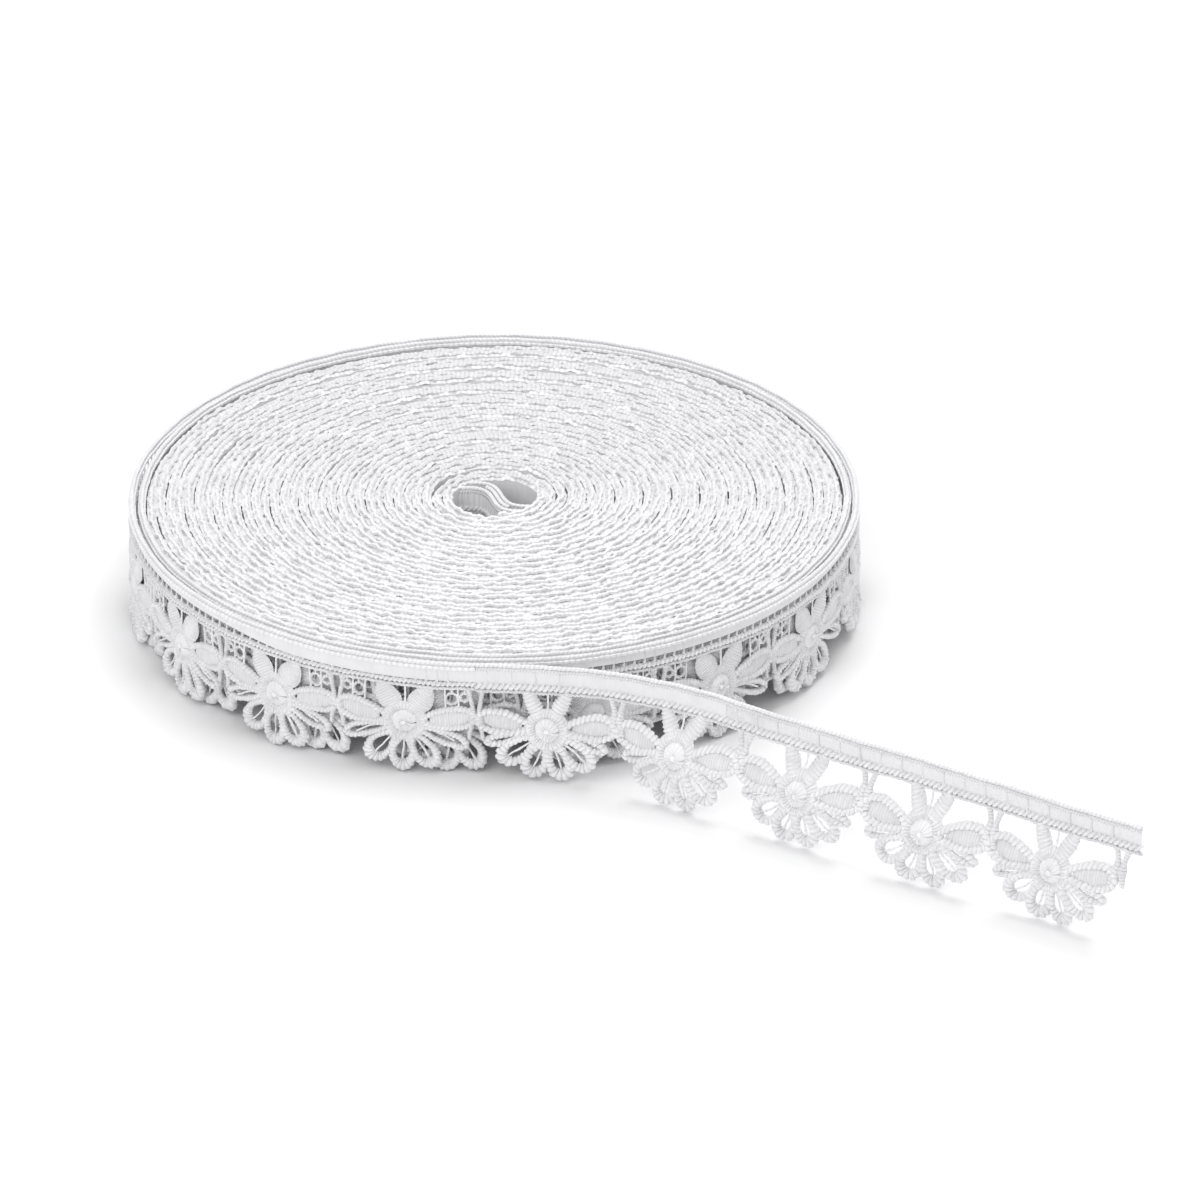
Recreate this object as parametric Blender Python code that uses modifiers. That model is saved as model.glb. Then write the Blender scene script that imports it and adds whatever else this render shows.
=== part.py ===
"""Roll of lace trim: a white guipure edging wound on its edge into a flat disc, with its end left free.

Units are metres and +Z is up. The origin is on the winding axis, on the surface that the roll rests on.
The lace stands on its scalloped edge, its straight edge up. It leaves the roll at the front (-Y),
heading right (+X), then bends forward and runs on straight to its cut end.
"""

import math

import bmesh
import bpy

# The lace
LACE_WIDTH = 0.0254
HALF_THICKNESS = 0.0010
FLOWER_PITCH = 0.0283
GAP = 0.0003

# The winding
ROLL_RADIUS = 0.0734
TURN_PITCH = 0.0021
TURN_STEPS = 128
FRONT = math.radians(-90)

# The hollows left by the two prongs that the lace was wound on
CORE_RADIUS = 0.0087
DIVIDER_THICKNESS = 0.0026
DIVIDER_SWING = 0.0016
DIVIDER_ANGLE = math.radians(-35)
DIVIDER_STEPS = 12
CORE_ARC_STEPS = 18

# The crescent gap behind the innermost turns
CRESCENT_OUTER_RADIUS = 0.0142
CRESCENT_INNER_RADIUS = 0.0136
CRESCENT_SHIFT = 0.0009
CRESCENT_START = math.radians(-15)
CRESCENT_END = math.radians(195)
CRESCENT_STEPS = 20
CRESCENT_DEPTH = 0.0090

# The main steps between groups of turns that stand proud of each other, from the outside in
CREST_DROP = 0.0002
STEP_COLUMNS = ("radius", "depth")
WINDING_STEPS = (
    (0.0696, 0.0016),
    (0.0634, 0.0014),
    (0.0568, 0.0014),
    (0.0500, 0.0012),
    (0.0435, 0.0010),
    (0.0368, 0.0009),
    (0.0300, 0.0008),
    (0.0240, 0.0008),
    (0.0185, 0.0007),
)

# The arches between the flowers along the lower edge
ARCH_RADIUS = 0.0065
ARCH_CENTRE_DROP = 0.0033
ARCH_DEPTH = 0.0040
ARCH_STEPS = 28
ARCHES_ON_ROLL = 16
FLOWER_NEXT_TO_FRONT = 0.0106

# The loose end, measured along its path from where it leaves the roll
BEND_RADIUS = 0.0800
BEND_ANGLE = math.radians(33.5)
LOOSE_LENGTH = 0.1419
LOOSE_STEPS = 84
SCALLOP_FLAT = 0.0052
SCALLOP_RISE_END = 0.0110
SCALLOP_HEIGHT = 0.0042

# One upright section of the loose end, from the straight edge down
SECTION_COLUMNS = ("band", "height", "half_thickness", "flare_share")
SECTION = (
    ("straight edge", 0.0254, 0.0006, 0.00),
    ("edge cord", 0.0247, 0.0009, 0.00),
    ("ladder top", 0.0238, 0.0005, 0.00),
    ("ladder foot", 0.0208, 0.0005, 0.00),
    ("second cord", 0.0198, 0.0009, 0.00),
    ("upper petals", 0.0165, 0.0008, 0.30),
    ("flower heart", 0.0107, 0.0010, 0.85),
    ("lower petals", 0.0052, 0.0009, 1.00),
    ("scalloped edge", 0.0000, 0.0007, 1.00),
)

# How far the scalloped edge flares forward along the loose end
FLARE_COLUMNS = ("along", "flare")
FLARE = (
    (0.0000, 0.0000),
    (0.0180, 0.0012),
    (0.0400, 0.0046),
    (0.0670, 0.0040),
    (0.0950, 0.0043),
    (0.1240, 0.0029),
    (0.1419, 0.0022),
)

ROLL_COLOUR = (0.90, 0.90, 0.91, 1.0)
LOOSE_END_COLOUR = (0.93, 0.93, 0.94, 1.0)
THREAD_ROUGHNESS = 0.62


def clear_scene():
    """Removes every object of the scene."""
    for thing in list(bpy.data.objects):
        bpy.data.objects.remove(thing, do_unlink=True)


def new_collection(name):
    """Returns a new collection linked to the scene."""
    made = bpy.data.collections.new(name)
    bpy.context.scene.collection.children.link(made)
    return made


def thread_material(name, colour):
    """Returns the matt material of a piece made of embroidery thread."""
    made = bpy.data.materials.new(name)
    made.use_nodes = True
    shader = made.node_tree.nodes["Principled BSDF"]
    shader.inputs["Base Color"].default_value = colour
    shader.inputs["Roughness"].default_value = THREAD_ROUGHNESS
    shader.inputs["Metallic"].default_value = 0.0
    return made


def rows_of(columns, table):
    """Returns a table's rows as dictionaries keyed by its column names."""
    return [dict(zip(columns, row)) for row in table]


def smooth_step(share):
    """Returns the S-shaped ramp from 0 to 1 at a share from 0 to 1."""
    share = min(1.0, max(0.0, share))
    return share * share * (3.0 - 2.0 * share)


def polar(radius, angle):
    """Returns the point at a radius and an angle about the winding axis."""
    return (radius * math.cos(angle), radius * math.sin(angle))


def roll_outline():
    """Returns the roll's plan outline: one turn of the spiral, closed by the step under the loose end."""
    points = []
    for step in range(TURN_STEPS + 1):
        turn = step / TURN_STEPS
        points.append(polar(ROLL_RADIUS + TURN_PITCH * turn, FRONT + math.tau * turn))
    return points


def divider_edge(side):
    """Returns one edge of the S-shaped divider across the core; side is +1 above it, -1 below it."""
    points = []
    cos_turn = math.cos(DIVIDER_ANGLE)
    sin_turn = math.sin(DIVIDER_ANGLE)
    for step in range(DIVIDER_STEPS + 1):
        along = (2.0 * step / DIVIDER_STEPS - 1.0) * 0.97 * CORE_RADIUS
        across = -DIVIDER_SWING * math.sin(math.pi * along / CORE_RADIUS) + side * DIVIDER_THICKNESS / 2
        if math.hypot(along, across) < CORE_RADIUS:
            points.append((along * cos_turn - across * sin_turn, along * sin_turn + across * cos_turn))
    return points


def hollow_outline(side):
    """Returns the plan outline of one teardrop hollow of the core, beside the divider."""
    edge = divider_edge(side)
    start = math.atan2(edge[-1][1], edge[-1][0])
    end = math.atan2(edge[0][1], edge[0][0])
    sweep = (end - start) % math.tau if side > 0 else -((start - end) % math.tau)
    arc = [polar(CORE_RADIUS, start + sweep * step / CORE_ARC_STEPS) for step in range(CORE_ARC_STEPS + 1)]
    return edge + arc


def crescent_outline():
    """Returns the plan outline of the gap behind the innermost turns, wide at the back."""
    outer = []
    inner = []
    for step in range(CRESCENT_STEPS + 1):
        angle = CRESCENT_START + (CRESCENT_END - CRESCENT_START) * step / CRESCENT_STEPS
        outer.append(polar(CRESCENT_OUTER_RADIUS, angle))
        x, y = polar(CRESCENT_INNER_RADIUS, angle)
        inner.append((x, y - CRESCENT_SHIFT))
    return outer + inner[::-1]


def extruded(name, outlines, bottom, top, collection):
    """Returns a mesh object: flat outlines, the later ones cut out of the first, extruded upwards."""
    curve = bpy.data.curves.new(name, "CURVE")
    curve.dimensions = "2D"
    curve.fill_mode = "BOTH"
    curve.extrude = (top - bottom) / 2
    for outline in outlines:
        spline = curve.splines.new("POLY")
        spline.points.add(len(outline) - 1)
        for point, (x, y) in zip(spline.points, outline):
            point.co = (x, y, 0.0, 1.0)
        spline.use_cyclic_u = True
    flat = bpy.data.objects.new(name + "_outline", curve)
    collection.objects.link(flat)
    flat.location = (0.0, 0.0, (top + bottom) / 2)
    bpy.context.view_layer.update()
    shape = flat.evaluated_get(bpy.context.evaluated_depsgraph_get())
    mesh = bpy.data.meshes.new_from_object(shape)
    welded = bmesh.new()
    welded.from_mesh(mesh)
    bmesh.ops.remove_doubles(welded, verts=welded.verts, dist=0.00001)
    bmesh.ops.recalc_face_normals(welded, faces=welded.faces)
    welded.to_mesh(mesh)
    welded.free()
    solid = bpy.data.objects.new(name, mesh)
    solid.matrix_world = flat.matrix_world
    collection.objects.link(solid)
    bpy.data.objects.remove(flat, do_unlink=True)
    return solid


def mark_cutter(cutter):
    """Shows a cutter as wire only."""
    cutter.hide_render = True
    cutter.display_type = "WIRE"


def cut(target, cutter):
    """Cuts a cutter out of the target with an exact Boolean."""
    mark_cutter(cutter)
    difference = target.modifiers.new(cutter.name, "BOOLEAN")
    difference.operation = "DIFFERENCE"
    difference.solver = "EXACT"
    difference.object = cutter


def winding_step_profile():
    """Returns the underside of the turned cutter that leaves the sawtooth of turns on the top face."""
    clear = LACE_WIDTH + HALF_THICKNESS
    crest = LACE_WIDTH - CREST_DROP
    profile = []
    outside = clear
    for step in rows_of(STEP_COLUMNS, WINDING_STEPS):
        profile.append((step["radius"], outside))
        profile.append((step["radius"], LACE_WIDTH - step["depth"]))
        outside = crest
    profile.append((CRESCENT_OUTER_RADIUS, crest))
    profile.append((CORE_RADIUS / 2, crest - CREST_DROP))
    profile.append((CORE_RADIUS / 2, clear))
    return profile


def winding_step_cutter(collection):
    """Returns the turned cutter: a closed profile swept once round the axis."""
    profile = winding_step_profile()
    mesh = bpy.data.meshes.new("winding_steps")
    shape = bmesh.new()
    corners = [shape.verts.new((radius, 0.0, height)) for radius, height in profile]
    for first, second in zip(corners, corners[1:] + corners[:1]):
        shape.edges.new((first, second))
    shape.to_mesh(mesh)
    shape.free()
    cutter = bpy.data.objects.new("winding_steps", mesh)
    collection.objects.link(cutter)
    turned = cutter.modifiers.new("turned", "SCREW")
    turned.axis = "Z"
    turned.angle = math.tau
    turned.steps = TURN_STEPS
    turned.render_steps = TURN_STEPS
    turned.use_merge_vertices = True
    turned.merge_threshold = 0.00001
    return cutter


def arch_cutter(number, collection):
    """Returns the round bar that cuts one arch between two flowers into the roll's lower edge."""
    back = FLOWER_PITCH * (number + 0.5) - FLOWER_NEXT_TO_FRONT
    angle = FRONT - back / (ROLL_RADIUS + TURN_PITCH)
    turn = 1.0 - back / (math.tau * (ROLL_RADIUS + TURN_PITCH))
    rim = ROLL_RADIUS + TURN_PITCH * turn
    length = 2 * ARCH_DEPTH
    x, y = polar(rim - ARCH_DEPTH + length / 2, angle)
    bpy.ops.mesh.primitive_cylinder_add(
        vertices=ARCH_STEPS,
        radius=ARCH_RADIUS,
        depth=length,
        location=(x, y, -ARCH_CENTRE_DROP),
        rotation=(0.0, math.radians(90), angle),
    )
    cutter = bpy.context.object
    cutter.name = "arch_%02d" % number
    for owner in list(cutter.users_collection):
        owner.objects.unlink(cutter)
    collection.objects.link(cutter)
    return cutter


def wound_roll(collection, cutters):
    """Makes the wound disc with its core hollows, its proud groups of turns and its scalloped foot."""
    outlines = [roll_outline(), hollow_outline(1), hollow_outline(-1)]
    roll = extruded("wound_roll", outlines, 0.0, LACE_WIDTH, collection)
    cut(roll, winding_step_cutter(cutters))
    crescent_floor = LACE_WIDTH - CRESCENT_DEPTH
    crescent_top = LACE_WIDTH + HALF_THICKNESS
    cut(roll, extruded("crescent_gap", [crescent_outline()], crescent_floor, crescent_top, cutters))
    for number in range(ARCHES_ON_ROLL):
        cut(roll, arch_cutter(number, cutters))
    roll.data.materials.append(thread_material("wound_lace", ROLL_COLOUR))


def loose_place(along):
    """Returns the plan point, and the heading, at a length along the loose end's path."""
    start_y = -(ROLL_RADIUS + GAP + HALF_THICKNESS)
    turned = min(along / BEND_RADIUS, BEND_ANGLE)
    x = BEND_RADIUS * math.sin(turned)
    y = start_y - BEND_RADIUS * (1.0 - math.cos(turned))
    straight = max(0.0, along - BEND_RADIUS * BEND_ANGLE)
    x += straight * math.cos(BEND_ANGLE)
    y -= straight * math.sin(BEND_ANGLE)
    return x, y, -turned


def scallop(along):
    """Returns the height of the lower edge: flat under each flower, arched between flowers."""
    past = (along - FLOWER_NEXT_TO_FRONT) % FLOWER_PITCH
    away = min(past, FLOWER_PITCH - past)
    rise = (away - SCALLOP_FLAT) / (SCALLOP_RISE_END - SCALLOP_FLAT)
    return SCALLOP_HEIGHT * smooth_step(rise)


def flare(along):
    """Returns how far the scalloped edge stands forward at a length along the loose end."""
    rows = rows_of(FLARE_COLUMNS, FLARE)
    for near, far in zip(rows, rows[1:]):
        if along <= far["along"]:
            share = (along - near["along"]) / (far["along"] - near["along"])
            return near["flare"] + (far["flare"] - near["flare"]) * smooth_step(share)
    return rows[-1]["flare"]


def loose_section(along):
    """Returns the closed ring of points round the lace at a length along the loose end."""
    x, y, heading = loose_place(along)
    out_x, out_y = math.sin(heading), -math.cos(heading)
    front = []
    back = []
    for row in rows_of(SECTION_COLUMNS, SECTION):
        height = max(row["height"], scallop(along))
        middle = flare(along) * row["flare_share"]
        for side, ring in ((1, front), (-1, back)):
            out = middle + side * row["half_thickness"]
            ring.append((x + out_x * out, y + out_y * out, height))
    return front + back[::-1]


def loose_end(collection):
    """Makes the free length of lace as a thin sheet lofted through its sections."""
    shape = bmesh.new()
    rings = []
    for step in range(LOOSE_STEPS + 1):
        along = GAP + (LOOSE_LENGTH - GAP) * step / LOOSE_STEPS
        rings.append([shape.verts.new(point) for point in loose_section(along)])
    count = len(rings[0])
    for near, far in zip(rings, rings[1:]):
        for index in range(count):
            following = (index + 1) % count
            shape.faces.new((near[index], far[index], far[following], near[following]))
    half = count // 2
    for ring, flip in ((rings[0], False), (rings[-1], True)):
        for index in range(half - 1):
            opposite = count - 1 - index
            corners = (ring[index], ring[index + 1], ring[opposite - 1], ring[opposite])
            shape.faces.new(corners[::-1] if flip else corners)
    bmesh.ops.recalc_face_normals(shape, faces=shape.faces)
    mesh = bpy.data.meshes.new("loose_end")
    shape.to_mesh(mesh)
    shape.free()
    mesh.shade_smooth()
    mesh.set_sharp_from_angle(angle=math.radians(40))
    sheet = bpy.data.objects.new("loose_end", mesh)
    collection.objects.link(sheet)
    sheet.data.materials.append(thread_material("loose_lace", LOOSE_END_COLOUR))


clear_scene()
lace_roll = new_collection("roll_of_lace_trim")
cutter_collection = new_collection("cutters")
wound_roll(lace_roll, cutter_collection)
loose_end(lace_roll)
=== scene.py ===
import math

import bpy
import numpy as np
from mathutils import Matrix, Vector


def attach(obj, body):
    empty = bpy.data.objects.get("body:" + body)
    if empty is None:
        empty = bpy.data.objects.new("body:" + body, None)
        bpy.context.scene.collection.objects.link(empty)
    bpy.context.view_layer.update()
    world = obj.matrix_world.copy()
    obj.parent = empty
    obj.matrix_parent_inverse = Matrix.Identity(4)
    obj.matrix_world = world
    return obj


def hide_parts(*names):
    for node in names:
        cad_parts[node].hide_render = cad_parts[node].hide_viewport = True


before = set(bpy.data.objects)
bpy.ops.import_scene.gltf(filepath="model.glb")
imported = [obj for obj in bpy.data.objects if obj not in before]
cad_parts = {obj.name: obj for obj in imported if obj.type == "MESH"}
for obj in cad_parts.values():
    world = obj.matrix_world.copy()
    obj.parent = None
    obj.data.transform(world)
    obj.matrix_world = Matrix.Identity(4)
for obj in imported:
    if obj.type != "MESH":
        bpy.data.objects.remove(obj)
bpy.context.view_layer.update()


# ---------------------------------------------------------------------------------------------------------
# The satin-stitched cord: cotton padding thread that the embroidery machine wraps, stitch beside stitch.
# Every rail, petal, leaf and bar of the lace is such a cord. One stitch is modelled, repeated along a
# straight line, and bent along its route. The lace lies flat while it is made, its width along Y.
# ---------------------------------------------------------------------------------------------------------
STITCH = 0.00080
ROUTE_STEPS = 30
MERGE_DISTANCE = 0.00002
THREAD_STEP = 0.0013
THREAD_THICK = 0.00022
FINE_THREAD_THICK = 0.00020


def work_on(piece):
    """Makes a piece the only selected object and the active one."""
    bpy.ops.object.select_all(action="DESELECT")
    piece.select_set(True)
    bpy.context.view_layer.objects.active = piece


def stitch(name, long, high, deep, sides=6, pinch=0.74, flat_pinch=None, lean=0.25, rings=2):
    """Returns one stitch of a cord: a short tube round X, full at its middle and drawn in at its ends."""
    bpy.ops.object.select_all(action="DESELECT")
    bpy.ops.mesh.primitive_cylinder_add(
        vertices=sides, radius=1.0, depth=long, end_fill_type="NOTHING",
        location=(long / 2, 0, 0), rotation=(0, math.radians(90), 0))
    made = bpy.context.object
    made.name = name
    bpy.ops.object.transform_apply(location=True, rotation=True, scale=True)
    bpy.ops.object.mode_set(mode="EDIT")
    # One cut at the middle, or two that keep the stitch full between them.
    for cut in range(rings):
        share = 0.5 if rings == 1 else 0.27 + 0.46 * cut
        bpy.ops.mesh.select_all(action="SELECT")
        bpy.ops.mesh.bisect(plane_co=(long * share, 0, 0), plane_no=(1, 0, 0))
    bpy.ops.object.mode_set(mode="OBJECT")
    for point in made.data.vertices:
        at_end = abs(point.co.x - long / 2) > long * 0.45
        point.co.x += lean * long * point.co.y
        point.co.y *= high * ((flat_pinch or pinch) if at_end else 1.0)
        point.co.z *= deep * (pinch if at_end else 1.0)
    return made


def route_length(points):
    """Returns the length of a route."""
    return sum((far - near).length for near, far in zip(points, points[1:]))


def route_curve(name, points, swell=None):
    """Returns a curve object along a route; swell gives the cord's thickness at each of its points."""
    curve = bpy.data.curves.new(name, "CURVE")
    curve.dimensions = "3D"
    curve.twist_mode = "Z_UP"
    spline = curve.splines.new("POLY")
    spline.points.add(len(points) - 1)
    for index, (point, place) in enumerate(zip(spline.points, points)):
        point.co = (*place, 1.0)
        point.radius = swell[index] if swell else 1.0
    made = bpy.data.objects.new(name, curve)
    bpy.context.scene.collection.objects.link(made)
    return made


def repeat_along_x(piece, count, pitch, merge=True):
    """Repeats a piece along X with an array, and joins the copies where they meet."""
    work_on(piece)
    array = piece.modifiers.new("repeat", "ARRAY")
    array.count = count
    array.use_relative_offset = False
    array.use_constant_offset = True
    array.constant_offset_displace = (pitch, 0, 0)
    array.use_merge_vertices = merge
    array.merge_threshold = MERGE_DISTANCE
    bpy.ops.object.modifier_apply(modifier=array.name)


def bend_along(piece, route):
    """Bends a piece that lies along X so that it follows a route, and removes the route."""
    work_on(piece)
    bend = piece.modifiers.new("bend", "CURVE")
    bend.object = route
    bend.deform_axis = "POS_X"
    bpy.ops.object.modifier_apply(modifier=bend.name)
    bpy.data.objects.remove(route, do_unlink=True)


def close_ends(piece):
    """Closes the open ends of a cord."""
    work_on(piece)
    bpy.ops.object.mode_set(mode="EDIT")
    bpy.ops.mesh.select_mode(type="VERT")
    bpy.ops.mesh.select_all(action="DESELECT")
    bpy.ops.mesh.select_non_manifold(extend=False)
    bpy.ops.mesh.fill_holes(sides=0)
    bpy.ops.mesh.select_all(action="DESELECT")
    bpy.ops.object.mode_set(mode="OBJECT")


def join(name, pieces):
    """Joins pieces into one mesh."""
    bpy.ops.object.select_all(action="DESELECT")
    for piece in pieces:
        piece.select_set(True)
    bpy.context.view_layer.objects.active = pieces[0]
    bpy.ops.object.join()
    pieces[0].name = name
    pieces[0].data.name = name
    return pieces[0]


def satin_cord(name, points, high, deep, swell=None, long=STITCH, pinch=0.74, flat_pinch=None, lean=0.25,
               sides=6, rings=2):
    """Returns a cord of satin stitches wound along a route."""
    length = route_length(points)
    count = max(2, round(length / long))
    cord = stitch(name, length / count, high, deep, sides, pinch, flat_pinch, lean, rings)
    repeat_along_x(cord, count, length / count)
    bend_along(cord, route_curve(name + "_route", points, swell))
    close_ends(cord)
    return cord


def thread(name, points, thick=THREAD_THICK):
    """Returns a thin loose thread along a route."""
    return satin_cord(name, points, thick, thick, long=THREAD_STEP, pinch=1.0, lean=0.0, sides=5, rings=0)


# ---------------------------------------------------------------------------------------------------------
# The flower repeat: a button in a stitched ring, two solid upper petals, two side leaves and open lower
# petals with a thread across each. A bar between two flowers carries their leaves from the second rail.
# ---------------------------------------------------------------------------------------------------------
LACE_WIDTH = 0.0254
FLOWER_PITCH = 0.0283
HEART_HEIGHT = 0.0114
RING_OUTSIDE = 0.0047
RING_STITCH = 0.00066
RING_DEEP = 0.00080
TIE_ANGLES = (88, 15, 165, 245, 300)
BUTTON_RADIUS = 0.0026
BUTTON_DEEP = 0.00120
BUTTON_STITCHES = 15
BUTTON_KNOT = 0.00065
KNOT_LEVEL = 0.0007
PETAL_ROOT = 0.0036
PETAL_DEEP = 0.00100
PETAL_SIDES = 0.9
SOLID_PETAL_END = 0.22
PRESSED = 0.00125

PETAL_COLUMNS = ("name", "angle", "reach", "half_width", "cord", "tip", "thread")
HANGING_PETALS = (
    ("middle", -93, 0.0114, 0.00205, 0.00078, 0.00150, True),
    ("right", -58, 0.0121, 0.00210, 0.00078, 0.00145, True),
    ("left", -130, 0.0122, 0.00210, 0.00078, 0.00145, True),
    ("right side", -20, 0.0138, 0.00120, 0.00072, 0.00085, False),
    ("left side", -162, 0.0138, 0.00120, 0.00072, 0.00085, False),
)
STANDING_PETALS = (
    ("inner right", -72, 0.0114, 0.00195, 0.00078, 0.00145, True),
    ("inner left", -108, 0.0114, 0.00195, 0.00078, 0.00145, True),
    ("outer right", -38, 0.0124, 0.00205, 0.00078, 0.00135, True),
    ("outer left", -142, 0.0124, 0.00205, 0.00078, 0.00135, True),
    ("right side", -14, 0.0131, 0.00090, 0.00070, 0.00080, False),
    ("left side", -166, 0.0131, 0.00090, 0.00070, 0.00080, False),
)
LEAF_CORD = 0.00078
LEAF_CORD_DEEP = 0.00098
LEAF_FILL_ROOT = PETAL_ROOT + 0.0015
WING_ROOT = PETAL_ROOT - 0.0006
LEAF_COLUMNS = ("name", "angle", "reach", "half_width", "lean")
SIDE_LEAVES = (
    ("right leaf", 8, 0.0148, 0.00215, 0.5),
    ("left leaf", 172, 0.0148, 0.00215, -0.5),
)
WOUND_WINGS = (
    ("right wing", 57, 0.0097, 0.00260, 0.28),
    ("left wing", 123, 0.0097, 0.00260, -0.28),
)
LOOSE_WINGS = (
    ("right wing", 63, 0.0094, 0.00175, 0.0),
    ("left wing", 117, 0.0094, 0.00175, 0.0),
)
BAR_TOP = 0.0197
BAR_DEEP = 0.00066
BAR_APART = 0.00095
BAR_BOW = 0.00035
THREAD_TOP = 0.0200
LOOP_THICK = 0.00042
LOOP_DEEP = 0.00050
LOOP_STITCH = 0.00075
LOOP_COLUMNS = ("along", "height", "radius")
LOOPS = (
    (0.0094, 0.0172, 0.00120),
    (0.0119, 0.0176, 0.00085),
)
LOOP_THREAD_COLUMNS = ("along", "foot")
LOOP_THREADS = (
    (0.0080, 0.0150),
    (0.0106, 0.0140),
)
SLIT_THREAD = (
    (0.0046, 0.0106, 0.0003),
    (0.0074, 0.0094, 0.0004),
    (0.0100, 0.0078, 0.0003),
)
PARTING_THREAD = (
    (0.0000, 0.0145, 0.0002),
    (0.0002, 0.0170, 0.0002),
    (0.0001, 0.0197, 0.0001),
)


def on_flower(angle, along, across):
    """Returns the point at a distance along, and across, a ray from the flower's heart."""
    turn = math.radians(angle)
    x = along * math.cos(turn) - across * math.sin(turn)
    y = along * math.sin(turn) + across * math.cos(turn)
    return Vector((x, HEART_HEIGHT + y, 0))


def petal_route(angle, near, far, half_width):
    """Returns the outline of an open petal: out on one side, round the tip and back on the other."""
    points = []
    for step in range(ROUTE_STEPS + 1):
        turn = math.tau * step / ROUTE_STEPS
        out = (1 - math.cos(turn)) / 2
        # Narrow near the root, wide near the tip.
        across = half_width * math.sin(turn) * (0.66 + 0.6 * out)
        points.append(on_flower(angle, near + (far - near) * out, across))
    return points


def open_petal(row, detail):
    """Returns the cords of one open petal and the thread across its opening."""
    far = row["reach"] - row["tip"]
    points = petal_route(row["angle"], PETAL_ROOT, far, row["half_width"])
    swell = []
    for step in range(ROUTE_STEPS + 1):
        out = (1 - math.cos(math.tau * step / ROUTE_STEPS)) / 2
        at_tip = row["tip"] / row["cord"] / detail["petal_cord"]
        swell.append(PETAL_SIDES + (at_tip - PETAL_SIDES) * out ** 4)
    cords = [satin_cord(row["name"], points, row["cord"] * detail["petal_cord"], PETAL_DEEP, swell,
                        long=detail["stitch"], pinch=detail["pinch"], flat_pinch=detail["pinch"] + 0.10,
                        rings=detail["rings"])]
    if row["thread"]:
        middle = (PETAL_ROOT + far) / 2
        cords.append(thread(row["name"] + " thread", [
            on_flower(row["angle"], PETAL_ROOT, 0.0001),
            on_flower(row["angle"], middle, 0.0002),
            on_flower(row["angle"], far, -0.0001)]))
    return cords


def filled_petal(row, near, deep, long, pinch, full=0.55, blunt=0.55, flat_pinch=0.95):
    """Returns a solid petal: satin stitches laid side by side across it, long at its middle."""
    points = []
    swell = []
    for step in range(ROUTE_STEPS + 1):
        share = step / ROUTE_STEPS
        points.append(on_flower(row["angle"], near + (row["reach"] - near) * share, 0))
        swell.append(max(SOLID_PETAL_END, max(0.0, math.sin(math.pi * share ** full)) ** blunt))
    return satin_cord(row["name"] + " fill", points, row["half_width"], deep, swell, long=long,
                      pinch=pinch, flat_pinch=flat_pinch, lean=row["lean"] * 0.4, sides=8, rings=1)


def side_leaf(row, detail):
    """Returns a side leaf: a stitched outline round a thinner fill, which the loose end shows sunk."""
    far = row["reach"] - LEAF_CORD
    points = petal_route(row["angle"], PETAL_ROOT, far, row["half_width"])
    outline = satin_cord(row["name"], points, LEAF_CORD, LEAF_CORD_DEEP, long=detail["stitch"],
                         pinch=detail["pinch"], flat_pinch=detail["pinch"] + 0.08, rings=detail["rings"])
    inner = dict(row, reach=far, half_width=row["half_width"] * 0.95)
    fill = filled_petal(inner, LEAF_FILL_ROOT, detail["leaf_deep"], detail["fill"], detail["pinch"])
    for point in fill.data.vertices:
        point.co.z -= detail["leaf_sunk"]
    return [outline, fill]


def button(detail):
    """Returns the raised button at the flower's heart: stitches that run out from its middle on all sides."""
    middle = BUTTON_RADIUS * 0.44
    points = [on_flower(360 * step / ROUTE_STEPS, middle, 0) for step in range(ROUTE_STEPS + 1)]
    made = satin_cord("button", points, BUTTON_RADIUS - middle, BUTTON_DEEP,
                      long=math.tau * middle / BUTTON_STITCHES, pinch=0.80, flat_pinch=0.93, lean=0.0,
                      rings=detail["rings"])
    # Shallower valleys on the button's stitches: less dip and less painted shade.
    for corner in made.data.uv_layers.active.data:
        corner.uv.y = 0.5 + 0.6 * (corner.uv.y - 0.5)
    bpy.ops.object.select_all(action="DESELECT")
    bpy.ops.mesh.primitive_uv_sphere_add(segments=8, ring_count=5, radius=BUTTON_KNOT,
                                         location=(0, HEART_HEIGHT, KNOT_LEVEL))
    knot = bpy.context.object
    bpy.ops.object.transform_apply(location=True, rotation=True, scale=True)
    # No valley on the knot: no dip and no painted shade.
    for corner in knot.data.uv_layers.active.data:
        corner.uv.y = 0.5
    return join("button", [made, knot])


def ring(detail):
    """Returns the stitched ring round the button, and the threads that tie the button to it."""
    radius = RING_OUTSIDE - detail["ring_half"]
    points = [on_flower(360 * step / ROUTE_STEPS, radius, 0) for step in range(ROUTE_STEPS + 1)]
    cords = [satin_cord("ring", points, detail["ring_half"], RING_DEEP, long=RING_STITCH,
                        pinch=detail["pinch"], flat_pinch=0.93, lean=0.0, rings=detail["rings"])]
    for angle in TIE_ANGLES:
        ends = [on_flower(angle, BUTTON_RADIUS * 0.8, 0), on_flower(angle + 5, radius, 0)]
        cords.append(thread("tie", ends, FINE_THREAD_THICK))
    return cords


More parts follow.
